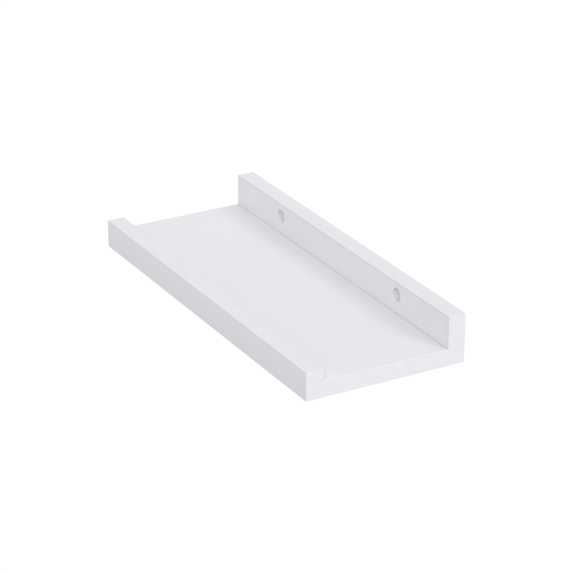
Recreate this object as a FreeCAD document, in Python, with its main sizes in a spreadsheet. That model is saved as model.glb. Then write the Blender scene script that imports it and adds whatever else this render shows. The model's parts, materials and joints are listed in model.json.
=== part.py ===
import FreeCAD, Part
import os

import Sketcher

# A small floating wall shelf, in millimetres: a deck board between a low front lip and a taller back
# rail. Dowels locate the three boards, and screws from the wall side draw the rail onto the deck.
#
# Frame: the origin is midway between the two wall-screw holes, on the face that meets the wall.
# +X runs along the shelf, +Y points into the wall and +Z points up.
#
# The sheet "size" holds the driving dimensions. Every other measure is a formula over its cells.

DRIVING_SIZES = (
    ("board_length", 356, "length of all three boards"),
    ("shelf_depth", 150, "wall face to the front of the lip"),
    ("rail_height", 44, "back rail from bottom to top, the overall height"),
    ("lip_height", 25.5, "front lip from bottom to top"),
    ("edge_thickness", 16, "thickness of the lip and of the rail"),
    ("deck_thickness", 15, "thickness of the deck"),
    ("arris_radius", 0.3, "rounding of every arris that the assembly leaves exposed"),
    ("wall_hole_spacing", 195, "centre to centre of the two wall-screw holes"),
    ("wall_hole_height", 32, "wall-screw hole centres above the underside"),
    ("wall_hole_bore", 5, "clearance hole for a wall screw"),
    ("recess_bore", 12, "recess that hides the wall screw's head"),
    ("recess_depth", 7, "depth of that recess from the rail's front face"),
    ("rim_radius", 0.4, "rounding of the recess's rim"),
    ("joint_pitch", 50, "distance between neighbouring fixings along a joint"),
    ("dowel_bore", 8, "dowel and socket diameter"),
    ("dowel_length", 30, "whole length of a dowel"),
    ("dowel_in_deck", 20, "length of a dowel that stands in the deck's edge"),
    ("dowel_chamfer", 1, "chamfer on a dowel's ends"),
    ("socket_slack", 1, "free length past each end of a dowel"),
    ("flute_count", 20, "glue flutes around a dowel"),
    ("flute_bore", 0.7, "diameter of the round cutter that forms a flute"),
    ("screw_length", 45, "rail screw from head to tip"),
    ("head_bore", 8, "rail screw head diameter"),
    ("head_land", 0.3, "straight rim of the head above its cone"),
    ("head_angle", 90, "angle of the head's cone and of its seat in degrees"),
    ("head_sink", 0.5, "how far the head lies below the rail's back face"),
    ("passage_bore", 4.4, "hole through the rail for a rail screw"),
    ("shank_bore", 3, "plain shank diameter"),
    ("shank_length", 17.5, "head and plain shank together"),
    ("core_bore", 2.5, "thread core diameter"),
    ("tip_length", 5, "length of the pointed tip"),
    ("thread_bore", 4, "thread crest diameter"),
    ("thread_pitch", 1.8, "advance of the thread per turn"),
    ("thread_crest", 0.12, "width of the thread's crest"),
    ("thread_flank", 20, "angle of a thread flank from the screw's cross-section in degrees"),
    ("buried_bore", 0.4, "inner diameter of the thread's ridge, inside the core"),
    ("run_in_turns", 2, "turns over which the thread grows to its full height"),
    ("drive_span", 4.4, "cross recess between the tips of two opposite wings"),
    ("drive_width", 0.9, "width of a wing of the cross recess"),
    ("drive_depth", 2.2, "depth of the cross recess"),
    ("drive_draft", 5, "draft of the cross recess's walls in degrees"),
)

# Places of the fixings along the shelf, counted in joint pitches from its middle.
SCREW_STATIONS = (-3, -1, 1, 3)
LIP_DOWEL_STATIONS = (-3, -1, 1, 3)
RAIL_DOWEL_STATIONS = (-2, 0, 2)

# Levels and faces that several pieces share, as formulas over the sheet.
UNDERSIDE = "-size.wall_hole_height"
DECK_TOP = "size.deck_thickness - size.wall_hole_height"
LIP_TOP = "size.lip_height - size.wall_hole_height"
RAIL_TOP = "size.rail_height - size.wall_hole_height"
JOINT_LEVEL = "size.deck_thickness / 2 - size.wall_hole_height"
WALL_FACE = "0"
RAIL_FRONT = "-size.edge_thickness"
LIP_BACK = "size.edge_thickness - size.shelf_depth"
LIP_FRONT = "-size.shelf_depth"
LIP_DOWEL_MIDDLE = f"{LIP_BACK} + size.dowel_in_deck - size.dowel_length / 2"
RAIL_DOWEL_MIDDLE = f"{RAIL_FRONT} - size.dowel_in_deck + size.dowel_length / 2"
DECK_SOCKET_DEPTH = "size.dowel_in_deck + size.socket_slack"
SIDE_SOCKET_DEPTH = "size.dowel_length - size.dowel_in_deck + size.socket_slack"

FULL_TURN = 360
SMALL = 1e-6


def make_sheet(doc):
    """Driving dimensions, one row each: name, plain number and meaning."""
    sheet = doc.addObject("Spreadsheet::Sheet", "size")
    for row, (alias, value, meaning) in enumerate(DRIVING_SIZES, start=1):
        sheet.set(f"A{row}", alias)
        sheet.set(f"B{row}", str(value))
        sheet.set(f"C{row}", meaning)
        sheet.setAlias(f"B{row}", alias)
    doc.recompute()


def bind(thing, formulas):
    """Tie an object's properties to formulas over the sheet."""
    for name, formula in formulas.items():
        thing.setExpression(name, formula)


def worth(thing, formula):
    """Present value of a formula over the sheet."""
    return float(thing.evalExpression(formula))


def new_body(doc, label):
    body = doc.addObject("PartDesign::Body", label)
    body.Label = label
    return body


def new_sketch(body, name, plane_role, offset=None):
    """Sketch on one of the body's own origin planes, or parallel to it."""
    sketch = body.newObject("Sketcher::SketchObject", name)
    plane = next(item for item in body.Origin.OriginFeatures if item.Role == plane_role)
    sketch.AttachmentSupport = [(plane, "")]
    sketch.MapMode = "FlatFace"
    if offset:
        sketch.setExpression("AttachmentOffset.Base.z", offset)
    return sketch


def dimension(sketch, kind, formula, *points):
    """Driving constraint whose value is a formula over the sheet."""
    number = sketch.addConstraint(Sketcher.Constraint(kind, *points, worth(sketch, formula)))
    sketch.setExpression(f"Constraints[{number}]", formula)


def place_point(sketch, curve, end, across, up):
    """Fix a point of a curve by its two distances from the sketch's origin."""
    for kind, axis, formula in (("DistanceX", -2, across), ("DistanceY", -1, up)):
        if abs(worth(sketch, formula)) < SMALL:
            sketch.addConstraint(Sketcher.Constraint("PointOnObject", curve, end, axis))
        else:
            dimension(sketch, kind, formula, -1, 1, curve, end)


def spot(sketch, across, up):
    return FreeCAD.Vector(worth(sketch, across), worth(sketch, up), 0)


def draw_outline(sketch, corners):
    """Closed outline of straight lines through corners given as formulas."""
    spots = [spot(sketch, across, up) for across, up in corners]
    for start, finish in zip(spots, spots[1:] + spots[:1]):
        sketch.addGeometry(Part.LineSegment(start, finish))
    for line, (across, up) in enumerate(corners):
        previous = (line - 1) % len(corners)
        sketch.addConstraint(Sketcher.Constraint("Coincident", previous, 2, line, 1))
        place_point(sketch, line, 1, across, up)


def rectangle(left, bottom, right, top):
    return [(left, bottom), (right, bottom), (right, top), (left, top)]


def draw_circles(sketch, centres, bore):
    """Equal circles; their diameter and centres are formulas."""
    for number, (across, up) in enumerate(centres):
        circle = Part.Circle(spot(sketch, across, up), FreeCAD.Vector(0, 0, 1), worth(sketch, bore) / 2)
        sketch.addGeometry(circle)
        dimension(sketch, "Diameter", bore, number)
        place_point(sketch, number, 3, across, up)


def edge_names(shape, wanted):
    """Names of the edges of a shape that a test picks out."""
    return [f"Edge{number}" for number, edge in enumerate(shape.Edges, start=1) if wanted(edge)]


def check_cut(body, volume_before, name):
    """A cut that points away from the solid fails silently, so the volume has to drop."""
    body.Document.recompute()
    if body.Shape.isNull() or body.Shape.Volume > volume_before - SMALL:
        raise RuntimeError(f"{name} removes nothing from {body.Label}")


# Boards


def pad_between_ends(body, name, corners):
    """Bar whose cross-section is drawn across the shelf and runs its whole length."""
    section = new_sketch(body, f"{name}_section", "YZ_Plane")
    draw_outline(section, corners)
    pad = body.newObject("PartDesign::Pad", name)
    pad.Profile = section
    pad.SideType = "Symmetric"
    bind(pad, {"Length": "size.board_length"})
    body.Document.recompute()
    return pad


def drill(body, name, face, towards_wall, centres, sizes, mouth="None"):
    """Round holes square to the face at the given place along Y; without a Depth they go right through."""
    sketch = new_sketch(body, f"{name}_centres", "XZ_Plane", f"-({face})")
    draw_circles(sketch, centres, sizes["Diameter"])
    body.Document.recompute()
    volume = body.Shape.Volume
    hole = body.newObject("PartDesign::Hole", name)
    hole.Profile = sketch
    body.Document.recompute()
    hole.Reversed = not towards_wall
    hole.DrillPoint = "Flat"
    hole.DepthType = "Dimension" if "Depth" in sizes else "ThroughAll"
    hole.HoleCutType = mouth
    hole.HoleCutCustomValues = mouth != "None"
    bind(hole, sizes)
    check_cut(body, volume, name)
    return hole


def at_stations(stations):
    """Hole centres at the joint level, at the given stations along the shelf."""
    return [(f"{station} * size.joint_pitch", JOINT_LEVEL) for station in stations]


def eased_outline(doc):
    """The whole shelf as one rounded U-shaped bar, which trims the exposed arrises of each board."""
    body = new_body(doc, "eased_outline")
    pad = pad_between_ends(body, "whole_outline", [
        (LIP_FRONT, UNDERSIDE),
        (WALL_FACE, UNDERSIDE),
        (WALL_FACE, RAIL_TOP),
        (RAIL_FRONT, RAIL_TOP),
        (RAIL_FRONT, DECK_TOP),
        (LIP_BACK, DECK_TOP),
        (LIP_BACK, LIP_TOP),
        (LIP_FRONT, LIP_TOP),
    ])
    deck_top = worth(pad, DECK_TOP)

    def is_exposed(edge):
        inner_corner = edge.BoundBox.XLength > SMALL and abs(edge.BoundBox.ZMax - deck_top) < SMALL
        return not inner_corner

    rounding = body.newObject("PartDesign::Fillet", "arris_rounding")
    rounding.Base = (pad, edge_names(pad.Shape, is_exposed))
    bind(rounding, {"Radius": "size.arris_radius"})
    doc.recompute()
    return body


def trimmed(doc, label, blank, outline):
    """A squared blank, trimmed by the rounded outline."""
    piece = doc.addObject("Part::Common", label)
    piece.Label = label
    piece.Base = blank
    piece.Tool = outline
    doc.recompute()
    return piece


def make_deck(doc, outline, screws):
    """Deck board: blind sockets in both long edges, and the threads that the rail screws cut in it."""
    body = new_body(doc, "deck_blank")
    pad_between_ends(body, "deck_bar", rectangle(LIP_BACK, UNDERSIDE, RAIL_FRONT, DECK_TOP))
    socket = {"Diameter": "size.dowel_bore", "Depth": DECK_SOCKET_DEPTH}
    drill(body, "lip_side_sockets", LIP_BACK, True, at_stations(LIP_DOWEL_STATIONS), socket)
    drill(body, "rail_side_sockets", RAIL_FRONT, False, at_stations(RAIL_DOWEL_STATIONS), socket)
    driven = doc.addObject("Part::Compound", "driven_screws")
    driven.Links = screws
    deck = doc.addObject("Part::Cut", "deck_board")
    deck.Label = "deck_board"
    deck.Base = trimmed(doc, "unthreaded_deck", body, outline)
    deck.Tool = driven
    doc.recompute()
    return deck


def make_lip(doc, outline):
    """Front lip: blind sockets in the face that meets the deck."""
    body = new_body(doc, "lip_blank")
    pad_between_ends(body, "lip_bar", rectangle(LIP_FRONT, UNDERSIDE, LIP_BACK, LIP_TOP))
    socket = {"Diameter": "size.dowel_bore", "Depth": SIDE_SOCKET_DEPTH}
    drill(body, "lip_sockets", LIP_BACK, False, at_stations(LIP_DOWEL_STATIONS), socket)
    return trimmed(doc, "front_lip", body, outline)


def round_recess_rims(body, hole):
    """Ease the rims of the recesses on the rail's front face."""
    front = worth(hole, RAIL_FRONT)
    radius = worth(hole, "size.recess_bore / 2")

    def is_rim(edge):
        round_edge = isinstance(edge.Curve, Part.Circle) and abs(edge.Curve.Radius - radius) < SMALL
        return round_edge and abs(edge.BoundBox.YMin - front) < SMALL

    rounding = body.newObject("PartDesign::Fillet", "rim_rounding")
    rounding.Base = (hole, edge_names(hole.Shape, is_rim))
    bind(rounding, {"Radius": "size.rim_radius"})
    body.Document.recompute()


def make_rail(doc, outline):
    """Back rail: recessed wall-screw holes, blind sockets, and screw holes sunk from the wall side."""
    body = new_body(doc, "rail_blank")
    pad_between_ends(body, "rail_bar", rectangle(RAIL_FRONT, UNDERSIDE, WALL_FACE, RAIL_TOP))
    socket = {"Diameter": "size.dowel_bore", "Depth": SIDE_SOCKET_DEPTH}
    drill(body, "rail_sockets", RAIL_FRONT, True, at_stations(RAIL_DOWEL_STATIONS), socket)
    seat_depth = "(size.head_sink + size.head_land)"
    seat = {
        "Diameter": "size.passage_bore",
        "HoleCutDiameter": f"size.head_bore + 2 * {seat_depth} * tan(size.head_angle / 2)",
        "HoleCutCountersinkAngle": "size.head_angle",
    }
    drill(body, "screw_passages", WALL_FACE, False, at_stations(SCREW_STATIONS), seat, "Countersink")
    recess = {
        "Diameter": "size.wall_hole_bore",
        "HoleCutDiameter": "size.recess_bore",
        "HoleCutDepth": "size.recess_depth",
    }
    centres = [(f"{side} * size.wall_hole_spacing / 2", "0") for side in (-1, 1)]
    round_recess_rims(body, drill(body, "wall_holes", RAIL_FRONT, True, centres, recess, "Counterbore"))
    return trimmed(doc, "back_rail", body, outline)


# Dowels


def make_dowel(doc, label, station, middle):
    """Dowel along Y with chamfered ends, fluted all round; middle is its place along Y."""
    body = new_body(doc, label)
    section = new_sketch(body, f"{label}_section", "XZ_Plane")
    draw_circles(section, [("0", "0")], "size.dowel_bore")
    rod = body.newObject("PartDesign::Pad", f"{label}_rod")
    rod.Profile = section
    rod.SideType = "Symmetric"
    bind(rod, {"Length": "size.dowel_length"})
    doc.recompute()
    ends = body.newObject("PartDesign::Chamfer", f"{label}_ends")
    ends.Base = (rod, edge_names(rod.Shape, lambda edge: edge.BoundBox.YLength < SMALL))
    bind(ends, {"Size": "size.dowel_chamfer"})
    doc.recompute()
    cut_flutes(body, label)
    bind(body, {
        "Placement.Base.x": f"{station} * size.joint_pitch",
        "Placement.Base.y": middle,
        "Placement.Base.z": JOINT_LEVEL,
    })
    doc.recompute()
    return body


def cut_flutes(body, label):
    """Glue flutes: one round groove along the dowel, repeated around it."""
    volume = body.Shape.Volume
    cutter = new_sketch(body, f"{label}_cutter", "XZ_Plane")
    draw_circles(cutter, [("0", "size.dowel_bore / 2")], "size.flute_bore")
    flute = body.newObject("PartDesign::Pocket", f"{label}_flute")
    flute.Profile = cutter
    flute.SideType = "Symmetric"
    bind(flute, {"Length": "size.dowel_length"})
    check_cut(body, volume, "flute")
    around = body.newObject("PartDesign::PolarPattern", f"{label}_flutes")
    around.Originals = [flute]
    around.Axis = (cutter, ["N_Axis"])
    around.Angle = FULL_TURN
    bind(around, {"Occurrences": "size.flute_count"})
    body.Tip = around


# Rail screws


def revolve(body, kind, name, corners):
    """Revolution or Groove about the body's Y axis of an outline drawn as radius and place along Y."""
    sketch = new_sketch(body, f"{name}_profile", "XY_Plane")
    draw_outline(sketch, corners)
    turned = body.newObject(f"PartDesign::{kind}", name)
    turned.Profile = sketch
    turned.ReferenceAxis = (sketch, ["V_Axis"])
    turned.Angle = FULL_TURN
    body.Document.recompute()


def add_thread(body, label):
    """Right-hand ridge wound from below the shank to the tip; its root is buried in the core."""
    ridge = new_sketch(body, f"{label}_ridge", "XY_Plane")
    start = "-(size.shank_length + size.thread_pitch / 2)"
    half_crest = "size.thread_crest / 2"
    half_root = f"({half_crest} + (size.thread_bore - size.buried_bore) / 2 * tan(size.thread_flank))"
    draw_outline(ridge, [
        ("size.buried_bore / 2", f"{start} - {half_root}"),
        ("size.thread_bore / 2", f"{start} - {half_crest}"),
        ("size.thread_bore / 2", f"{start} + {half_crest}"),
        ("size.buried_bore / 2", f"{start} + {half_root}"),
    ])
    thread = body.newObject("PartDesign::AdditiveHelix", f"{label}_thread")
    thread.Profile = ridge
    thread.ReferenceAxis = (ridge, ["V_Axis"])
    thread.Mode = "pitch-height-angle"
    thread.Reversed = True
    bind(thread, {
        "Pitch": "size.thread_pitch",
        "Height": "size.screw_length - size.shank_length - size.thread_pitch / 2",
    })
    body.Document.recompute()


def trim_thread(body, label):
    """Let the thread grow in a cone below the shank, and bring it to a point with the tip."""
    clear = "size.thread_bore"
    full = "-size.shank_length - size.run_in_turns * size.thread_pitch"
    beyond = "-size.screw_length - size.thread_pitch"
    run_in = [
        ("size.shank_bore / 2", "-size.shank_length"),
        (clear, "-size.shank_length"),
        (clear, full),
        ("size.thread_bore / 2", full),
    ]
    point = [
        ("0", "-size.screw_length"),
        ("size.thread_bore / 2", "size.tip_length - size.screw_length"),
        (clear, "size.tip_length - size.screw_length"),
        (clear, beyond),
        ("0", beyond),
    ]
    for name, corners in (("run_in", run_in), ("point", point)):
        volume = body.Shape.Volume
        revolve(body, "Groove", f"{label}_{name}", corners)
        check_cut(body, volume, name)


def cut_drive(body, label):
    """Cross recess in the head: two crossed slots with drafted walls."""
    span = "size.drive_span / 2"
    width = "size.drive_width / 2"
    for name, across, up in (("level", span, width), ("upright", width, span)):
        volume = body.Shape.Volume
        sketch = new_sketch(body, f"{label}_{name}_slot", "XZ_Plane")
        draw_outline(sketch, rectangle(f"-{across}", f"-{up}", across, up))
        wings = body.newObject("PartDesign::Pocket", f"{label}_{name}_wings")
        wings.Profile = sketch
        wings.Reversed = True
        bind(wings, {"Length": "size.drive_depth", "TaperAngle": "-size.drive_draft"})
        check_cut(body, volume, "drive slot")


def make_screw(doc, label, station):
    """Countersunk screw along Y: its head's flat top faces the wall and its tip points to the lip."""
    body = new_body(doc, label)
    cone_height = "(size.head_bore - size.shank_bore) / 2 / tan(size.head_angle / 2)"
    revolve(body, "Revolution", f"{label}_blank", [
        ("0", "0"),
        ("size.head_bore / 2", "0"),
        ("size.head_bore / 2", "-size.head_land"),
        ("size.shank_bore / 2", f"-size.head_land - {cone_height}"),
        ("size.shank_bore / 2", "-size.shank_length"),
        ("size.core_bore / 2", "-size.shank_length - (size.shank_bore - size.core_bore) / 2"),
        ("size.core_bore / 2", "size.tip_length - size.screw_length"),
        ("0", "-size.screw_length"),
    ])
    add_thread(body, label)
    trim_thread(body, label)
    cut_drive(body, label)
    bind(body, {
        "Placement.Base.x": f"{station} * size.joint_pitch",
        "Placement.Base.y": "-size.head_sink",
        "Placement.Base.z": JOINT_LEVEL,
    })
    doc.recompute()
    return body


# The whole shelf


def check_document(doc):
    """A recompute can leave an object failed without raising."""
    for item in doc.Objects:
        if any(state in ("Invalid", "Error") for state in item.State):
            raise RuntimeError(f"{item.Name} ({item.Label}) did not compute: {item.State}")


def export(piece):
    shape = piece.Shape
    if shape.isNull() or not shape.isValid() or len(shape.Solids) != 1:
        raise RuntimeError(f"{piece.Label} is not one valid solid")
    shape.exportStep(f"parts/{piece.Label}.step")
    box = shape.optimalBoundingBox(False, False)
    print(f"{piece.Label:14s} {shape.Volume:10.1f} mm3  x {box.XMin:8.2f} {box.XMax:8.2f}"
          f"  y {box.YMin:8.2f} {box.YMax:8.2f}  z {box.ZMin:7.2f} {box.ZMax:7.2f}")


def main():
    os.makedirs("parts", exist_ok=True)
    doc = FreeCAD.newDocument("floating_wall_shelf")
    make_sheet(doc)
    outline = eased_outline(doc)
    screws = []
    for number, station in enumerate(SCREW_STATIONS, start=1):
        screws.append(make_screw(doc, f"rail_screw_{number}", station))
    dowels = []
    for number, station in enumerate(LIP_DOWEL_STATIONS, start=1):
        dowels.append(make_dowel(doc, f"lip_dowel_{number}", station, LIP_DOWEL_MIDDLE))
    for number, station in enumerate(RAIL_DOWEL_STATIONS, start=1):
        dowels.append(make_dowel(doc, f"rail_dowel_{number}", station, RAIL_DOWEL_MIDDLE))
    boards = [make_deck(doc, outline, screws), make_lip(doc, outline), make_rail(doc, outline)]
    check_document(doc)
    for piece in boards + dowels + screws:
        export(piece)


main()
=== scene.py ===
# %% [markdown]
# # A small white ledge shelf
# The shelf is three boards that look like one piece: a flat deck, a low lip along its front edge and a
# taller rail along its back edge. The rail has two recessed holes for wall screws, and everything that
# shows from the room has one satin white finish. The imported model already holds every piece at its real
# size, so this lesson builds the finished surfaces on top of it: boards with eased arrises, a paint film,
# bare board where no paint reaches, beech dowels and zinc-plated screws.

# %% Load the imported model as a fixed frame
import json
import math

import bmesh
import bpy
from mathutils import Matrix, Vector


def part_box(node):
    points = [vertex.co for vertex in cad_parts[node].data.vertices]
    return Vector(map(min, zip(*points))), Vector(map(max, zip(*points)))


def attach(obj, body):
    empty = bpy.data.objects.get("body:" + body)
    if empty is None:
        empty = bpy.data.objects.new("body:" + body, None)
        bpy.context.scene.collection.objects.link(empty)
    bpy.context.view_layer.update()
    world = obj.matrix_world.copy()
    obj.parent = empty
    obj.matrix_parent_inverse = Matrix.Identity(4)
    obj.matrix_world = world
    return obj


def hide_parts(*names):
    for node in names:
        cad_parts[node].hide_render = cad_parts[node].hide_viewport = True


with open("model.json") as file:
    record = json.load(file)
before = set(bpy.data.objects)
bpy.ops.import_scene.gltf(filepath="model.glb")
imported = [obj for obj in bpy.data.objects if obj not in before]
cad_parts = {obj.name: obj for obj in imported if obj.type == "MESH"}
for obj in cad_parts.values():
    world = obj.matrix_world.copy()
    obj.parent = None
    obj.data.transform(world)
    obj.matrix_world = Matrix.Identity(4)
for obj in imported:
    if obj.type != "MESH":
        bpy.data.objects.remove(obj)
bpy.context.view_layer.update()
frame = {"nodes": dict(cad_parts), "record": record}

print("pieces in the packed model:", ", ".join(sorted(frame["nodes"])))

# %% [markdown]
# ## Measures
# Nothing is measured twice: the faces of the boards, the fixings and the wall-screw holes are read from
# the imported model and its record. Only the small things that a box can't tell, such as the rounding of an
# arris, are named later, where they are used. All lengths are in metres, so millimetres are written as a
# multiple of MM.

# %% Faces of the boards and places of the wall holes
MM = 0.001
TINY = 0.001 * MM

deck_low, deck_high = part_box("deck_board")
lip_low, lip_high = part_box("front_lip")
rail_low, rail_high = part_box("back_rail")
left_end, right_end = deck_low.x, deck_high.x
underside = deck_low.z
deck_top = deck_high.z
lip_joint = lip_high.y
rail_joint = rail_low.y
wall_face = rail_high.y

mounts = {mount["name"]: mount for mount in frame["record"]["mounts"]}
wall_screws = mounts["wall_screws"]
hole_radius = wall_screws["dims"]["hole_r_mm"] * MM
hole_offset = wall_screws["dims"]["spacing_x_mm"] * MM / 2
wall_hole_centres = [Vector((side * hole_offset, 0, wall_screws["pos_m"][2])) for side in (-1, 1)]
print(f"boards {(right_end - left_end) / MM:.1f} mm long, wall holes {2 * hole_offset / MM:.1f} mm apart")

# %% [markdown]
# ## One rounded bar for three boards
# A maker glues the boards up and then runs sandpaper over every arris at once, so the rounding flows
# across the joints and stops in the two inner corners. The same order works here: the whole U-shaped
# section is drawn with eight vertices, extruded to full length, and bevelled along every edge but the
# two inner corners. The boards are sliced from that bar afterwards.

# %% Draw the section and extrude it
bar = bmesh.new()
section = [
    (lip_low.y, underside),
    (wall_face, underside),
    (wall_face, rail_high.z),
    (rail_joint, rail_high.z),
    (rail_joint, deck_top),
    (lip_joint, deck_top),
    (lip_joint, lip_high.z),
    (lip_low.y, lip_high.z),
]
end_face = bar.faces.new([bar.verts.new((left_end, y, z)) for y, z in section])
grown = bmesh.ops.extrude_face_region(bar, geom=[end_face])
far_end = [item for item in grown["geom"] if isinstance(item, bmesh.types.BMVert)]
bmesh.ops.translate(bar, verts=far_end, vec=(right_end - left_end, 0, 0))
bmesh.ops.recalc_face_normals(bar, faces=bar.faces)
print(f"bar with {len(bar.faces)} faces and {len(bar.edges)} edges")

# %% [markdown]
# ## Eased arrises
# An arris is told by what it isn't: the bevel takes every edge of the bar except the two that lie on the
# deck's top and run along it, because sandpaper doesn't reach into those corners. A few segments with a
# profile of 0.5 make it a round, and where three arrises meet, the bevel closes the corner by itself.

# %% Ease every arris
ARRIS_RADIUS = 0.3 * MM
ARRIS_STEPS = 5
PARALLEL = 0.999


def runs_along(edge, axis):
    """True if an edge is parallel to an axis: 0, 1 or 2."""
    span = edge.verts[0].co - edge.verts[1].co
    return abs(span[axis]) > PARALLEL * span.length


def in_inner_corner(edge):
    """True for the two edges where the deck's top meets the lip and the rail."""
    lies_on_deck = all(abs(vert.co.z - deck_top) < TINY for vert in edge.verts)
    return lies_on_deck and runs_along(edge, 0)


arrises = [edge for edge in bar.edges if not in_inner_corner(edge)]
bmesh.ops.bevel(bar, geom=arrises, offset=ARRIS_RADIUS, offset_type="OFFSET", affect="EDGES",
                segments=ARRIS_STEPS, profile=0.5, material=-1)
print(f"bar with {len(bar.faces)} faces, {len(arrises)} arrises eased to {ARRIS_RADIUS / MM:.1f} mm")

# %% [markdown]
# ## Slicing the boards
# Each board is the bar between two planes. Cutting leaves it open, so the cut is closed with a new face:
# that is the glued joint, which stays bare. Where the cut runs along the rail's or the lip's inner face,
# that face lies in the plane too: it belongs to the board behind it, and is left out of the deck. A hair
# of a chamfer round each joint is what lets a joint be seen, from very close, in a painted piece. From
# here on each face carries the number of its finish, PAINT or BARE, which picks its material later.

# %% Slice the boards and ease their joints
PAINT, BARE = 0, 1
JOINT_EASE = 0.06 * MM
CORNER_ANGLE = math.radians(45)


def lies_at(face, y):
    """True if all of a face lies at one place along Y."""
    return all(abs(vert.co.y - y) < TINY for vert in face.verts)


def cut_by_plane(board, spot, outwards, finish):
    """Remove what lies beyond a plane, and close the cut with one face."""
    everything = board.verts[:] + board.edges[:] + board.faces[:]
    bmesh.ops.bisect_plane(board, geom=everything, dist=TINY, plane_co=spot, plane_no=outwards,
                           clear_outer=True)
    neighbours = [face for face in board.faces
                  if face.normal.dot(outwards) < 0
                  and all(abs((vert.co - spot).dot(outwards)) < TINY for vert in face.verts)]
    bmesh.ops.delete(board, geom=neighbours, context="FACES")
    rim = [edge for edge in board.edges if edge.is_boundary]
    closing = bmesh.ops.contextual_create(board, geom=rim)["faces"][0]
    closing.material_index = finish
    bmesh.ops.recalc_face_normals(board, faces=board.faces)
    return closing


def ease_joint(board, joint):
    """Chamfer a joint's rim, except where the board's own face goes on in the same plane."""
    rim = [edge for edge in joint.edges if edge.calc_face_angle() > CORNER_ANGLE]
    bmesh.ops.bevel(board, geom=rim, offset=JOINT_EASE, offset_type="OFFSET", affect="EDGES",
                    segments=1, profile=0.5, material=PAINT)


def slice_board(cuts):
    """Copy of the bar, cut off at the given planes: (place along Y, outward direction)."""
    board = bar.copy()
    for y, outwards in cuts:
        joint = cut_by_plane(board, Vector((0, y, 0)), Vector((0, outwards, 0)), BARE)
        ease_joint(board, joint)
    return board


lip = slice_board([(lip_joint, 1)])
deck = slice_board([(lip_joint, -1), (rail_joint, 1)])
rail = slice_board([(rail_joint, -1)])
bar.free()
print("faces per board:", {"lip": len(lip.faces), "deck": len(deck.faces), "rail": len(rail.faces)})

# %% [markdown]
# ## The hairline in the inner corners
# Glue and paint never quite fill the corner between two boards, and the eye reads the thin dark line that
# is left as the joint. It could be painted on, but a real gap also holds up from other sides: one more
# cut, by a steep plane, takes a sliver off the deck's top edge. The paint that ran into the gap is a strip
# as deep as the gap on the joint's face of the board beside it.

# %% Open the gap and paint its far side
GAP_WIDTH = 0.45 * MM
GAP_DEPTH = 1.0 * MM


def open_gap(board, y, outwards):
    """Take a steep sliver off the deck's top edge at a joint."""
    across = Vector((0, outwards * GAP_DEPTH, GAP_WIDTH)).normalized()
    cut_by_plane(board, Vector((0, y, deck_top - GAP_DEPTH)), across, PAINT)


def paint_into_gap(board, y):
    """Give the joint's face a painted strip as deep as the gap beside it."""
    joint = next(face for face in board.faces if lies_at(face, y) and face.material_index == BARE)
    bmesh.ops.bisect_plane(board, geom=joint.verts[:] + joint.edges[:] + [joint], dist=TINY,
                           plane_co=(0, 0, deck_top - GAP_DEPTH), plane_no=(0, 0, 1))
    for face in board.faces:
        if lies_at(face, y) and face.calc_center_median().z > deck_top - GAP_DEPTH:
            face.material_index = PAINT


for y, outwards, neighbour in ((lip_joint, -1, lip), (rail_joint, 1, rail)):
    open_gap(deck, y, outwards)
    paint_into_gap(neighbour, y)
print(f"two gaps, {GAP_WIDTH / MM:.2f} mm wide and {GAP_DEPTH / MM:.1f} mm deep")

# %% [markdown]
# ## Holes
# All holes run along Y. A hole's wall is a small turned surface: its profile, as radius and place along
# Y, is spun round the hole's axis. The flat faces that it ends in are then laid again around the mouths
# of their holes. That keeps the flats truly flat, and needs no boolean, which could leave stray slivers.

# %% Turn a hole's wall, and lay a flat around the mouths in it
HOLE_STEPS = 64


def turn_wall(board, centre, profile, finish):
    """Wall of a hole along Y through centre: points of (radius, place along Y), turned once round."""
    before = set(board.faces)
    points = [board.verts.new((centre.x, y, centre.z + radius)) for radius, y in profile]
    lines = [board.edges.new(pair) for pair in zip(points, points[1:])]
    bmesh.ops.spin(board, geom=points + lines, cent=(centre.x, 0, centre.z), axis=(0, 1, 0),
                   angle=math.tau, steps=HOLE_STEPS, use_merge=True)
    for face in board.faces:
        if face not in before:
            face.material_index = finish


def lay_around_mouths(board, y):
    """Replace each flat face at y, where holes end in it, by one with those holes left out."""
    for flat in [face for face in board.faces if lies_at(face, y)]:
        lowest = min(vert.co.z for vert in flat.verts)
        highest = max(vert.co.z for vert in flat.verts)
        mouths = [edge for edge in board.edges if edge.is_boundary
                  and all(abs(vert.co.y - y) < TINY and lowest < vert.co.z < highest
                          for vert in edge.verts)]
        if mouths:
            rim, normal, finish = flat.edges[:], flat.normal.copy(), flat.material_index
            bmesh.ops.delete(board, geom=[flat], context="FACES_ONLY")
            laid = bmesh.ops.triangle_fill(board, edges=rim + mouths, use_beauty=True, normal=normal)
            for item in laid["geom"]:
                if isinstance(item, bmesh.types.BMFace):
                    item.material_index = finish


def close_seams(board):
    """Merge the turned walls with the flats, and point every face outwards."""
    bmesh.ops.remove_doubles(board, verts=board.verts, dist=TINY)
    bmesh.ops.dissolve_degenerate(board, edges=board.edges, dist=TINY / 10)
    bmesh.ops.recalc_face_normals(board, faces=board.faces)
    gaps = [edge for edge in board.edges if not edge.is_manifold]
    print(f"  {len(board.faces)} faces, {len(gaps)} open edges, {board.calc_volume() / MM ** 3:.0f} mm3")


print(f"holes are turned in {HOLE_STEPS} steps")

# %% [markdown]
# ## What each board has bored in it
# The dowels stand in blind sockets, a little deeper than the dowel so that glue has somewhere to go. The
# rail screws pass the rail freely, sit in seats sunk from the wall side, and bite into pilot holes in
# the deck's edge. The recesses for the wall screws were painted with the rest, and the narrow holes
# behind them were not, so paint ends at the seat of the screw's head.

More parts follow.
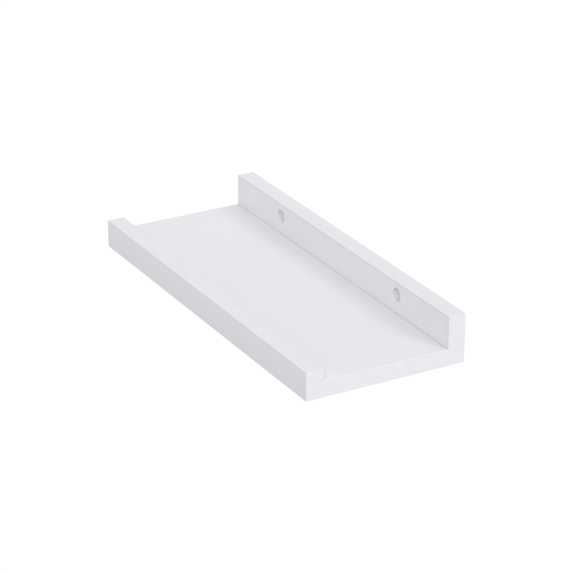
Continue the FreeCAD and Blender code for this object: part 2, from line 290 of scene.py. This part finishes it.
# %% Bore the three boards
DOWEL_RADIUS = 4 * MM
SOCKET_SLACK = 1 * MM
RECESS_RADIUS = 6 * MM
RECESS_DEPTH = 7 * MM
RIM_RADIUS = 0.4 * MM
RIM_STEPS = 4
SEAT_RADIUS = 4.8 * MM
PASSAGE_RADIUS = 2.2 * MM
PILOT_RADIUS = 1.5 * MM
PILOT_POINT = 5 * MM


def middle(node):
    """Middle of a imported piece's box."""
    low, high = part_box(node)
    return (low + high) / 2


def named(start):
    """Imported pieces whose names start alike, in order."""
    return sorted(name for name in frame["nodes"] if name.startswith(start))


def bore_socket(board, dowel, mouth, inwards):
    """Blind socket for one end of a dowel, from the joint at mouth in the given direction along Y."""
    low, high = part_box(dowel)
    floor = (high.y if inwards > 0 else low.y) + inwards * SOCKET_SLACK
    turn_wall(board, middle(dowel), [(DOWEL_RADIUS, mouth), (DOWEL_RADIUS, floor), (0, floor)], BARE)


def bore_wall_hole(centre):
    """Recess with a softened rim, painted, and the clearance hole behind it, bare."""
    seat = rail_joint + RECESS_DEPTH
    rim = [RIM_RADIUS * (1 - math.sin(turn * math.pi / 2 / RIM_STEPS)) for turn in range(RIM_STEPS + 1)]
    drop = [RIM_RADIUS * (1 - math.cos(turn * math.pi / 2 / RIM_STEPS)) for turn in range(RIM_STEPS + 1)]
    recess = [(RECESS_RADIUS + out, rail_joint + down) for out, down in zip(rim, drop)]
    recess += [(RECESS_RADIUS, seat), (hole_radius, seat)]
    turn_wall(rail, centre, recess, PAINT)
    turn_wall(rail, centre, [(hole_radius, seat), (hole_radius, wall_face)], BARE)


for dowel in named("lip_dowel"):
    bore_socket(lip, dowel, lip_joint, -1)
    bore_socket(deck, dowel, lip_joint, 1)
for dowel in named("rail_dowel"):
    bore_socket(deck, dowel, rail_joint, -1)
    bore_socket(rail, dowel, rail_joint, 1)
for screw in named("rail_screw"):
    centre = middle(screw)
    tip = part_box(screw)[0].y
    seat_end = wall_face - (SEAT_RADIUS - PASSAGE_RADIUS)
    turn_wall(rail, centre, [(SEAT_RADIUS, wall_face), (PASSAGE_RADIUS, seat_end),
                             (PASSAGE_RADIUS, rail_joint)], BARE)
    turn_wall(deck, centre, [(PILOT_RADIUS, rail_joint), (PILOT_RADIUS, tip + PILOT_POINT), (0, tip)], BARE)
for centre in wall_hole_centres:
    bore_wall_hole(centre)

for name, board, flats in (("lip", lip, (lip_joint,)), ("deck", deck, (lip_joint, rail_joint)),
                           ("rail", rail, (rail_joint, wall_face))):
    print(name)
    for y in flats:
        lay_around_mouths(board, y)
    close_seams(board)

# %% [markdown]
# ## A shared node group: mottle
# A material is a tree of nodes, and most of the lines that build one only set inputs and draw links. The
# helper add_node does both: an input given as another node's output is linked, and anything else is a
# value. No real surface is one flat value all over, so each material here uses the same group, a mottle:
# soft clouds of a given size that drift between two values. It works in object coordinates, so the clouds
# stay on the piece, at their real size, from any side.

# %% Node helper and the mottle group
CENTIMETRE = (0.01, 0.01, 0.01)
NOISE_LOW, NOISE_HIGH = 0.3, 0.7


def add_node(tree, kind, inputs=(), **settings):
    """New node; inputs maps a socket's name or number to a value, or to an output to link."""
    node = tree.nodes.new(kind)
    for name, value in settings.items():
        setattr(node, name, value)
    for name, value in dict(inputs).items():
        if isinstance(value, bpy.types.NodeSocket):
            tree.links.new(value, node.inputs[name])
        else:
            node.inputs[name].default_value = value
    return node


def new_group(name, inputs, output):
    """Empty node group with the given inputs, (name, kind, value) each, and one number as output."""
    group = bpy.data.node_groups.new(name, "ShaderNodeTree")
    for label, kind, value in inputs:
        socket = group.interface.new_socket(label, in_out="INPUT", socket_type=kind)
        socket.default_value = value
    group.interface.new_socket(output, in_out="OUTPUT", socket_type="NodeSocketFloat")
    return group, add_node(group, "NodeGroupInput").outputs


def make_mottle():
    """Soft clouds of a given size along each axis, between the values Low and High."""
    group, given = new_group("mottle", [
        ("Size", "NodeSocketVector", CENTIMETRE),
        ("Detail", "NodeSocketFloat", 3.0),
        ("Low", "NodeSocketFloat", 0.0),
        ("High", "NodeSocketFloat", 1.0),
    ], "Value")
    place = add_node(group, "ShaderNodeTexCoord").outputs["Object"]
    scaled = add_node(group, "ShaderNodeVectorMath", {0: place, 1: given["Size"]}, operation="DIVIDE")
    clouds = add_node(group, "ShaderNodeTexNoise",
                      {"Vector": scaled.outputs[0], "Scale": 1.0, "Detail": given["Detail"]})
    spread = add_node(group, "ShaderNodeMapRange",
                      {"Value": clouds.outputs[0], "From Min": NOISE_LOW, "From Max": NOISE_HIGH,
                       "To Min": given["Low"], "To Max": given["High"]}, interpolation_type="SMOOTHSTEP")
    add_node(group, "NodeGroupOutput", {"Value": spread.outputs["Result"]})
    return group


MOTTLE = make_mottle()
print(f"group {MOTTLE.name}: {len(MOTTLE.nodes)} nodes")

# %% [markdown]
# ## A shared node group: specks
# Dust in paint, clumps of fibre and the flecks in beech are all sparse dots. A Voronoi texture measures
# how far each point is from the nearest of many scattered centres, so the places close to a centre are the
# dots. The spacing may differ along X, Y and Z, which draws the dots out along the grain.

# %% The specks group


def make_specks():
    """Sparse dots: 1 in the middle of a dot, falling to 0 at its edge."""
    group, given = new_group("specks", [
        ("Spacing", "NodeSocketVector", CENTIMETRE),
        ("Dot", "NodeSocketFloat", 0.1),
    ], "Mask")
    place = add_node(group, "ShaderNodeTexCoord").outputs["Object"]
    scaled = add_node(group, "ShaderNodeVectorMath", {0: place, 1: given["Spacing"]}, operation="DIVIDE")
    cells = add_node(group, "ShaderNodeTexVoronoi", {"Vector": scaled.outputs[0], "Scale": 1.0})
    dots = add_node(group, "ShaderNodeMapRange",
                    {"Value": cells.outputs["Distance"], "From Min": 0.0, "From Max": given["Dot"],
                     "To Min": 1.0, "To Max": 0.0}, interpolation_type="SMOOTHSTEP")
    add_node(group, "NodeGroupOutput", {"Mask": dots.outputs["Result"]})
    return group


SPECKS = make_specks()
print(f"group {SPECKS.name}: {len(SPECKS.nodes)} nodes")

# %% [markdown]
# ## Tools for the materials
# With these, a material reads as a recipe: mottle and specks place the two groups, blend mixes, figure
# calculates, and ramp fades a number in or out over a distance. Every material ends the same way, with one
# colour, one roughness and one height linked to its shader; the height goes through a Bump node, whose
# Distance is the real height of the relief. A Mix node has its own inputs and output for each kind of
# data, and they are reached by number, because their names are all alike.

# %% Tools for the materials
MIX_NUMBERS = {"kind": "FLOAT", "first": 2, "result": 0}
MIX_COLOURS = {"kind": "RGBA", "first": 6, "result": 2}


def mottle(tree, size, low, high, detail=3.0):
    """Mottle of a given size in millimetres along X, Y and Z; returns its value."""
    inputs = {"Size": [side * MM for side in size], "Detail": detail, "Low": low, "High": high}
    return add_node(tree, "ShaderNodeGroup", inputs, node_tree=MOTTLE).outputs["Value"]


def specks(tree, spacing, dot):
    """Specks a given distance apart in millimetres; dot is their share of that distance."""
    inputs = {"Spacing": [side * MM for side in spacing], "Dot": dot}
    return add_node(tree, "ShaderNodeGroup", inputs, node_tree=SPECKS).outputs["Mask"]


def blend(tree, factor, start, finish):
    """Mix of two colours, or of two numbers."""
    is_colour = isinstance(finish, tuple) or getattr(finish, "type", "") == "RGBA"
    mix = MIX_COLOURS if is_colour else MIX_NUMBERS
    node = add_node(tree, "ShaderNodeMix", {0: factor, mix["first"]: start, mix["first"] + 1: finish},
                    data_type=mix["kind"])
    return node.outputs[mix["result"]]


def figure(tree, operation, *values):
    """Result of a Math node."""
    return add_node(tree, "ShaderNodeMath", dict(enumerate(values)), operation=operation).outputs[0]


def ramp(tree, value, start, finish, high=1.0):
    """Number that rises from 0 to high while value goes from start to finish, and stays level outside."""
    node = add_node(tree, "ShaderNodeMapRange",
                    {"Value": value, "From Min": start, "From Max": finish, "To Min": 0.0, "To Max": high})
    return node.outputs["Result"]


def new_material(name, shader_inputs):
    """Material with one Principled shader; returns the material, its tree and the shader."""
    material = bpy.data.materials.new(name)
    material.use_nodes = True
    tree = material.node_tree
    tree.nodes.clear()
    shader = add_node(tree, "ShaderNodeBsdfPrincipled", shader_inputs)
    add_node(tree, "ShaderNodeOutputMaterial", {"Surface": shader.outputs["BSDF"]})
    return material, tree, shader


def drive(tree, shader, colour, roughness, height, relief):
    """Link a pattern to a shader; relief is the height in metres of a step from 0 to 1."""
    bump = add_node(tree, "ShaderNodeBump", {"Height": height, "Distance": relief})
    tree.links.new(colour, shader.inputs["Base Color"])
    tree.links.new(roughness, shader.inputs["Roughness"])
    tree.links.new(bump.outputs["Normal"], shader.inputs["Normal"])


print("node groups:", ", ".join(group.name for group in bpy.data.node_groups))

# %% [markdown]
# ## Painted shade and painted light in the white
# The white is painted darker in a band round the rail's front face, near its ends, along its top and in the
# corner at the deck. On the lip's front face it is painted darker more and more towards the lower edge.
# That is painted shade. On the deck just behind the lip it is painted lighter, as painted light where the
# lip casts its shadow. An attribute would need vertices where the tone changes, and these faces have none,
# so the two masks are made from the coordinates instead: a ramp says how near a point is to an edge, and a
# comparison says which face it is on. Each fade is given by its distances from the edge, first where it
# starts and then where it is full.

# %% Masks of painted shade and painted light
# The fades and strengths below place painted shade on the rail's front and the lip's front, and painted
# light on the deck behind the lip.
END_FADE = (5.0 * MM, 2.5 * MM)
TOP_FADE = (3.6 * MM, 1.8 * MM)
DECK_FADE = (3.0 * MM, 1.0 * MM)
LIP_FADE = (20 * MM, 0)
PAINTED_LIGHT_FADE = (20 * MM, 13 * MM)
END_SHADE_STRENGTH = 0.4
DECK_SHADE_STRENGTH = 0.6


def painted_shade_and_light(tree):
    """Masks of the painted shade and the painted light, 0 in most of the paint."""
    place = add_node(tree, "ShaderNodeTexCoord").outputs["Object"]
    x, y, z = add_node(tree, "ShaderNodeSeparateXYZ", {0: place}).outputs
    either_side = figure(tree, "ABSOLUTE", x)
    # Painted shade: the rail's front face is darkened near its two ends, along its top and in the corner at
    # the deck.
    near_end = ramp(tree, either_side, right_end - END_FADE[0], right_end - END_FADE[1], END_SHADE_STRENGTH)
    near_top = ramp(tree, z, rail_high.z - TOP_FADE[0], rail_high.z - TOP_FADE[1])
    near_deck = ramp(tree, z, deck_top + DECK_FADE[0], deck_top + DECK_FADE[1], DECK_SHADE_STRENGTH)
    on_rail = figure(tree, "COMPARE", y, rail_joint, ARRIS_RADIUS)
    above_deck = figure(tree, "MULTIPLY", on_rail, figure(tree, "GREATER_THAN", z, deck_top))
    outline = figure(tree, "MAXIMUM", figure(tree, "MAXIMUM", near_end, near_top), near_deck)
    outline = figure(tree, "MULTIPLY", outline, above_deck)
    on_lip = figure(tree, "COMPARE", y, lip_low.y, ARRIS_RADIUS)
    # Painted shade: the lip's front face is darkened more and more towards its lower edge.
    low_down = ramp(tree, z, underside + LIP_FADE[0], underside + LIP_FADE[1])
    low_down = figure(tree, "MULTIPLY", low_down, on_lip)
    # Painted light: the deck is lightened just behind the lip, where the lip casts a shadow.
    on_deck = figure(tree, "MULTIPLY", figure(tree, "COMPARE", z, deck_top, ARRIS_RADIUS),
                     figure(tree, "GREATER_THAN", y, lip_joint))
    behind_lip = ramp(tree, y, lip_joint + PAINTED_LIGHT_FADE[0], lip_joint + PAINTED_LIGHT_FADE[1])
    return figure(tree, "ADD", outline, low_down), figure(tree, "MULTIPLY", behind_lip, on_deck)


# Reach of the painted shade at the rail's ends and of the painted light behind the lip.
print(f"thin along the rail's ends for {END_FADE[0] / MM:.1f} mm, lightened_in_paint behind the lip for"
      f" {PAINTED_LIGHT_FADE[0] / MM:.0f} mm")

# %% [markdown]
# ## Satin white paint
# Sprayed satin lacquer isn't perfectly even. On the broad faces it dries to a very fine orange peel; on
# the sawn edges the board drinks more of it, so the film there is a little more matte and mottled. A few
# dust nibs are caught in the film. All of that is slight: from a step away the shelf is simply white.
# The boards carry an attribute, sawn_edge, that tells the two kinds of surface apart. The white itself
# holds a trace of blue, which is what makes a white look clean rather than creamy.

# %% Paint material
PAINT_DARKER = (0.806, 0.811, 0.847, 1)
PAINT_LIGHTER = (0.834, 0.839, 0.871, 1)
# A darker white stands in for painted shade, a lighter one for painted light.
PAINTED_SHADE_WHITE = (0.782, 0.787, 0.821, 1)
PAINTED_LIGHT_WHITE = (0.852, 0.857, 0.892, 1)
NIB_SPACING = (23, 23, 23)
NIB_SHARE = 0.012
NIB_HEIGHT = 3.0
PEEL_RELIEF = 0.012 * MM


def paint_white():
    """The white film: tone, painted shade and painted light, gloss and orange peel."""
    material, tree, shader = new_material("satin_white_paint", {"IOR": 1.5, "Specular IOR Level": 0.4})
    sawn = add_node(tree, "ShaderNodeAttribute", attribute_name="sawn_edge").outputs["Fac"]
    broad_tone = mottle(tree, (60, 60, 60), low=0.4, high=0.6)
    sawn_tone = mottle(tree, (8, 4, 5), low=0.0, high=1.0, detail=4.0)
    colour = blend(tree, blend(tree, sawn, broad_tone, sawn_tone), PAINT_DARKER, PAINT_LIGHTER)
    # The masks mix in the darker white as painted shade and the lighter white as painted light.
    painted_shade, painted_light = painted_shade_and_light(tree)
    colour = blend(tree, painted_shade, colour, PAINTED_SHADE_WHITE)
    colour = blend(tree, painted_light, colour, PAINTED_LIGHT_WHITE)
    broad_gloss = mottle(tree, (14, 14, 14), low=0.41, high=0.44)
    sawn_gloss = mottle(tree, (5, 3, 3), low=0.46, high=0.58)
    broad_peel = mottle(tree, (2.2, 2.2, 2.2), low=0.0, high=0.5)
    sawn_peel = mottle(tree, (3.0, 1.0, 1.0), low=0.0, high=1.0)
    peel = blend(tree, sawn, broad_peel, sawn_peel)
    height = blend(tree, specks(tree, NIB_SPACING, NIB_SHARE), peel, NIB_HEIGHT)
    drive(tree, shader, colour, blend(tree, sawn, broad_gloss, sawn_gloss), height, PEEL_RELIEF)
    return material


white_paint = paint_white()
print(f"{white_paint.name}: {len(white_paint.node_tree.nodes)} nodes")

# %% [markdown]
# ## Bare board
# Where no paint reaches, the board is pressed wood fibre: flat, tan, and full of short fibres of a
# slightly different brown. It shows only inside the holes and on the glued joints.

# %% Bare board material
FIBRE_DARKER = (0.40, 0.27, 0.16, 1)
FIBRE_LIGHTER = (0.56, 0.41, 0.26, 1)
FIBRE_CLUMP = (0.30, 0.19, 0.11, 1)
CLUMP_SPACING = (1.7, 1.1, 1.1)
CLUMP_SHARE = 0.22
FIBRE_RELIEF = 0.05 * MM


def bare_fibre():
    """Pressed fibre: short fibres of two browns, and darker clumps."""
    material, tree, shader = new_material("bare_fibreboard", {"IOR": 1.45, "Specular IOR Level": 0.25})
    fibres = mottle(tree, (0.9, 0.5, 0.5), low=0.0, high=1.0, detail=5.0)
    clumps = specks(tree, CLUMP_SPACING, CLUMP_SHARE)
    colour = blend(tree, fibres, FIBRE_DARKER, FIBRE_LIGHTER)
    colour = blend(tree, clumps, colour, FIBRE_CLUMP)
    roughness = mottle(tree, (2, 2, 2), low=0.75, high=0.92)
    drive(tree, shader, colour, roughness, fibres, FIBRE_RELIEF)
    return material


bare_board = bare_fibre()
print(f"{bare_board.name}: {len(bare_board.node_tree.nodes)} nodes")

# %% [markdown]
# ## Beech dowels and zinc-plated screws
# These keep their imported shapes, because the flutes and the threads are already right, and get their
# finish here. Beech is a pale pink-brown with its grain along the dowel, here along Y, and short dark
# flecks. Plated screws are bright metal with a faint cloudiness from the plating bath.

# %% Beech and zinc materials
BEECH_DARKER = (0.50, 0.31, 0.18, 1)
BEECH_LIGHTER = (0.68, 0.48, 0.30, 1)
BEECH_FLECK = (0.36, 0.20, 0.11, 1)
BEECH_RELIEF = 0.03 * MM
ZINC_DARKER = (0.66, 0.68, 0.70, 1)
ZINC_LIGHTER = (0.80, 0.81, 0.80, 1)
ZINC_SPOT = (0.48, 0.49, 0.50, 1)
ZINC_RELIEF = 0.004 * MM


def beech_wood():
    """Beech with its grain and flecks drawn out along Y."""
    material, tree, shader = new_material("beech_wood", {"IOR": 1.45, "Specular IOR Level": 0.3})
    grain = mottle(tree, (0.7, 9, 0.7), low=0.0, high=1.0, detail=4.0)
    flecks = specks(tree, spacing=(0.9, 5, 0.9), dot=0.2)
    colour = blend(tree, grain, BEECH_DARKER, BEECH_LIGHTER)
    colour = blend(tree, flecks, colour, BEECH_FLECK)
    roughness = mottle(tree, (1, 6, 1), low=0.55, high=0.7)
    drive(tree, shader, colour, roughness, grain, BEECH_RELIEF)
    return material


def zinc_plate():
    """Plated steel with faint clouds and small dull spots."""
    material, tree, shader = new_material("zinc_plated_steel", {"Metallic": 1.0})
    clouds = mottle(tree, (1.6, 1.6, 1.6), low=0.0, high=1.0, detail=4.0)
    spots = specks(tree, spacing=(1.9, 1.9, 1.9), dot=0.12)
    colour = blend(tree, clouds, ZINC_DARKER, ZINC_LIGHTER)
    colour = blend(tree, spots, colour, ZINC_SPOT)
    roughness = mottle(tree, (0.8, 0.8, 0.8), low=0.24, high=0.42)
    drive(tree, shader, colour, roughness, clouds, ZINC_RELIEF)
    return material


beech = beech_wood()
zinc = zinc_plate()
for start, material in (("lip_dowel", beech), ("rail_dowel", beech), ("rail_screw", zinc)):
    for node in named(start):
        mesh = frame["nodes"][node].data
        mesh.materials.clear()
        mesh.materials.append(material)
print("dowels in", beech.name, "and screws in", zinc.name)

# %% [markdown]
# ## The boards as finished pieces
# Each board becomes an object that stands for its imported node. Its broad faces look along one axis, so
# every face that looks another way is a sawn edge or the wall of a hole. Faces are shaded smooth, edges
# sharper than a rounded arris stay crisp, and a Weighted Normal modifier keeps the big flats flat where
# they meet the small curved strips of the arrises.

# %% Turn the meshes into pieces
SHARP_ANGLE = math.radians(35)
BROAD_FACE = 0.7


def finish_board(name, board, node, sheet_axis):
    """Object for a board whose broad faces look along sheet_axis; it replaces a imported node."""
    sawn = board.faces.layers.float.new("sawn_edge")
    for face in board.faces:
        face.smooth = True
        face[sawn] = 0.0 if abs(face.normal[sheet_axis]) > BROAD_FACE else 1.0
    for edge in board.edges:
        edge.smooth = edge.calc_face_angle(0) < SHARP_ANGLE
    mesh = bpy.data.meshes.new(name)
    board.to_mesh(mesh)
    board.free()
    for material in (white_paint, bare_board):
        mesh.materials.append(material)
    piece = bpy.data.objects.new(name, mesh)
    bpy.context.scene.collection.objects.link(piece)
    weighted = piece.modifiers.new("flat_faces_stay_flat", "WEIGHTED_NORMAL")
    weighted.keep_sharp = True
    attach(piece, "root")
    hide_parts(node)
    print(f"{name}: {len(mesh.polygons)} faces")


ALONG_Y, ALONG_Z = 1, 2
finish_board("painted_lip", lip, "front_lip", ALONG_Y)
finish_board("painted_deck", deck, "deck_board", ALONG_Z)
finish_board("painted_rail", rail, "back_rail", ALONG_Y)

# %% [markdown]
# ## Studio: the dome
# A world of one even colour lights every side of the shelf a little, as a bright room does. The camera
# sees it as plain white, and so does whatever reflects or passes it; every other ray gets a lower level,
# which is set, with the lamps, so that a colour renders about as written. Light Path tells the rays apart.

# %% Dome
DOME_LEVEL = 0.498
WHITE = (1, 1, 1, 1)


def seen_directly(tree):
    """1 for rays that show the backdrop itself: to the camera, in a reflection or through glass."""
    path = add_node(tree, "ShaderNodeLightPath").outputs
    either = figure(tree, "MAXIMUM", path["Is Camera Ray"], path["Is Glossy Ray"])
    return figure(tree, "MAXIMUM", either, path["Is Transmission Ray"])


def light_dome():
    """World that lights at one level and shows as another."""
    world = bpy.data.worlds.new("studio_dome")
    world.use_nodes = True
    tree = world.node_tree
    tree.nodes.clear()
    lighting = add_node(tree, "ShaderNodeBackground", {"Color": WHITE, "Strength": DOME_LEVEL})
    backdrop = add_node(tree, "ShaderNodeBackground", {"Color": WHITE, "Strength": 1.0})
    either = add_node(tree, "ShaderNodeMixShader",
                      {0: seen_directly(tree), 1: lighting.outputs[0], 2: backdrop.outputs[0]})
    add_node(tree, "ShaderNodeOutputWorld", {"Surface": either.outputs[0]})
    bpy.context.scene.world = world


light_dome()
print(f"dome lights at {DOME_LEVEL} of white")

# %% [markdown]
# ## Studio: the floor
# The shelf hangs where it would on a wall, so the floor is far below it, and so wide that its edge is
# nowhere near. It is grey, and sends a little light up to the underside. It takes the shelf's shadow,
# which is too soft to see from so far, and to the camera its own glow lifts it to white.

# %% Floor
FLOOR_DROP = 2.0
FLOOR_RADIUS = 16.0
FLOOR_SIDES = 96
FLOOR_COLOUR = (0.61, 0.61, 0.61, 1)
FLOOR_GLOW = 0.45


def lay_floor():
    """Grey floor that takes shadows; to the camera its own glow lifts it to white."""
    material = bpy.data.materials.new("studio_floor")
    material.use_nodes = True
    tree = material.node_tree
    tree.nodes.clear()
    lit = add_node(tree, "ShaderNodeBsdfDiffuse", {"Color": FLOOR_COLOUR})
    glow = add_node(tree, "ShaderNodeEmission", {"Color": WHITE, "Strength": FLOOR_GLOW})
    lifted = add_node(tree, "ShaderNodeAddShader", {0: lit.outputs[0], 1: glow.outputs[0]})
    either = add_node(tree, "ShaderNodeMixShader",
                      {0: seen_directly(tree), 1: lit.outputs[0], 2: lifted.outputs[0]})
    add_node(tree, "ShaderNodeOutputMaterial", {"Surface": either.outputs[0]})
    disc = bmesh.new()
    bmesh.ops.create_circle(disc, cap_ends=True, radius=FLOOR_RADIUS, segments=FLOOR_SIDES,
                            matrix=Matrix.Translation((0, 0, underside - FLOOR_DROP)))
    mesh = bpy.data.meshes.new("floor")
    disc.to_mesh(mesh)
    disc.free()
    mesh.materials.append(material)
    floor = bpy.data.objects.new("floor", mesh)
    bpy.context.scene.collection.objects.link(floor)


lay_floor()
print(f"floor {FLOOR_DROP} m under the shelf")

# %% [markdown]
# ## Studio: the lamps
# Four white lamps model the shape: a wide fill lamp from the camera's side, two wide and weaker ones high
# in front of the shelf and high behind it, and a narrower key lamp from behind the right end, low enough
# that the rail casts a soft shadow on the deck. The fill lamp stands hardly higher than the camera, so
# that it lights what the camera sees of the two recesses. All are of the sun kind: a sun stands so far
# away that both ends of the shelf get the same light, and its width, as seen from the shelf, says how soft
# its shadows are. The lamps are kept out of reflections. Seen from across the shelf, one would lie on the
# satin deck as a white glare, so what shines in the paint and the screws is the dome.

# %% Lamps


def hang_lamp(name, azimuth, elevation, width, strength):
    """White sun lamp; angles in degrees, azimuth 0 in front of the shelf and 90 at its right end."""
    lamp = bpy.data.lights.new(name, "SUN")
    lamp.angle = math.radians(width)
    lamp.energy = strength
    holder = bpy.data.objects.new(name, lamp)
    bpy.context.scene.collection.objects.link(holder)
    holder.rotation_euler = (math.radians(90 - elevation), 0, math.radians(azimuth))
    holder.visible_glossy = False


hang_lamp("key_lamp", azimuth=114, elevation=30, width=22, strength=0.775)
hang_lamp("fill_lamp", azimuth=50, elevation=28.5, width=40, strength=1.19)
hang_lamp("front_lamp", azimuth=20, elevation=70, width=40, strength=0.21)
hang_lamp("back_lamp", azimuth=180, elevation=70, width=40, strength=0.29)
print("lamps:", ", ".join(f"{lamp.name} {lamp.energy:.3g}" for lamp in bpy.data.lights))

# %% [markdown]
# ## Camera
# A long lens from the right and a little above, so that the deck, the lip, the rail's front with its
# holes and the right end all show. The angles, the distance and the point that the camera looks at say
# where it stands; the roll is the small tilt of a camera that wasn't quite level. Lens and sensor are in
# millimetres, as on a real camera. The view transform is Standard, which passes colours on as they are lit
# and doesn't grey the whites as the default does.

# %% Place the camera
SENSOR_WIDTH = 36
CLIP_END = 100
CAMERA_AZIMUTH = math.radians(59.98)
CAMERA_ELEVATION = math.radians(24.23)
CAMERA_ROLL = math.radians(0.54)
CAMERA_DISTANCE = 2.1174
CAMERA_LENS = 154.76
AIM = Vector((6.53, -69.72, -16.70)) * MM


def place_camera():
    """Camera on a stalk from the point it looks at: turned round, raised, rolled and drawn back."""
    data = bpy.data.cameras.new("camera")
    data.sensor_width = SENSOR_WIDTH
    data.lens = CAMERA_LENS
    data.clip_end = CLIP_END
    camera = bpy.data.objects.new("camera", data)
    bpy.context.scene.collection.objects.link(camera)
    turn = (Matrix.Rotation(CAMERA_AZIMUTH, 4, "Z")
            @ Matrix.Rotation(math.pi / 2 - CAMERA_ELEVATION, 4, "X")
            @ Matrix.Rotation(CAMERA_ROLL, 4, "Z"))
    camera.matrix_world = Matrix.Translation(AIM) @ turn @ Matrix.Translation((0, 0, CAMERA_DISTANCE))
    bpy.context.scene.camera = camera
    return camera


camera = place_camera()
bpy.context.view_layer.update()
bpy.context.scene.view_settings.view_transform = "Standard"
print("camera at", [round(value, 4) for value in camera.matrix_world.translation])
